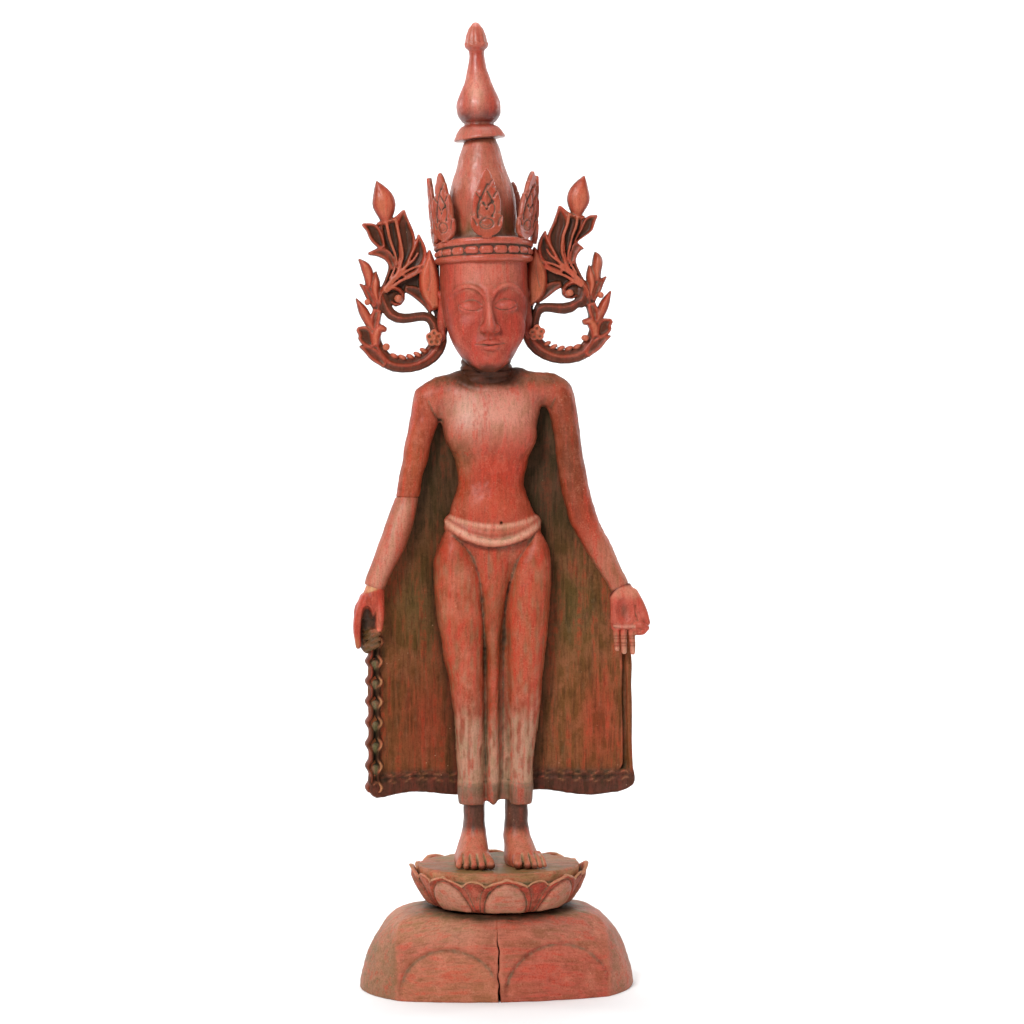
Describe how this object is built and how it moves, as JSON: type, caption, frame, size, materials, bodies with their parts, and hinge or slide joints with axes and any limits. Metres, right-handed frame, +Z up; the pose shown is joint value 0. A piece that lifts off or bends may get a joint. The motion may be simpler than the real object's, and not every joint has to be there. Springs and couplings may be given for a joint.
{
  "type": "standing buddha statue",
  "caption": "Standing crowned figure in carved red-lacquered wood, arms lowered in front of a spread robe, on a lotus dais and an oval plinth.",
  "frame": {"origin": "centre of the plinth's underside", "axes": "+Z up along the figure, -Y towards the figure's front, +X towards its left hand"},
  "size_m": [0.3697, 0.216, 1.2028],
  "materials": {
    "base_lacquer": "worn matt red lacquer on wood",
    "lotus_lacquer": "dusty worn red lacquer on wood",
    "figure_lacquer": "waxed red lacquer on wood, worn to brown on the robe",
    "hand_lacquer": "waxed red lacquer on wood",
    "crown_lacquer": "waxed red lacquer on wood",
    "flange_lacquer": "waxed dark red lacquer on carved wood"
  },
  "bodies": {
    "root": {"base_pedestal": "base_lacquer", "lotus_dais": "lotus_lacquer", "figure": "figure_lacquer", "right_forearm": "figure_lacquer", "right_hand": "hand_lacquer", "left_hand": "hand_lacquer", "crown_leaf_1": "crown_lacquer", "crown_leaf_2": "crown_lacquer", "crown_leaf_3": "crown_lacquer", "crown_leaf_4": "crown_lacquer", "crown_leaf_5": "crown_lacquer", "crown_leaf_6": "crown_lacquer", "crown_leaf_7": "crown_lacquer", "crown_leaf_8": "crown_lacquer", "ear_flange_right": "flange_lacquer", "ear_flange_left": "flange_lacquer", "finial": "crown_lacquer"}
  },
  "joints": []
}
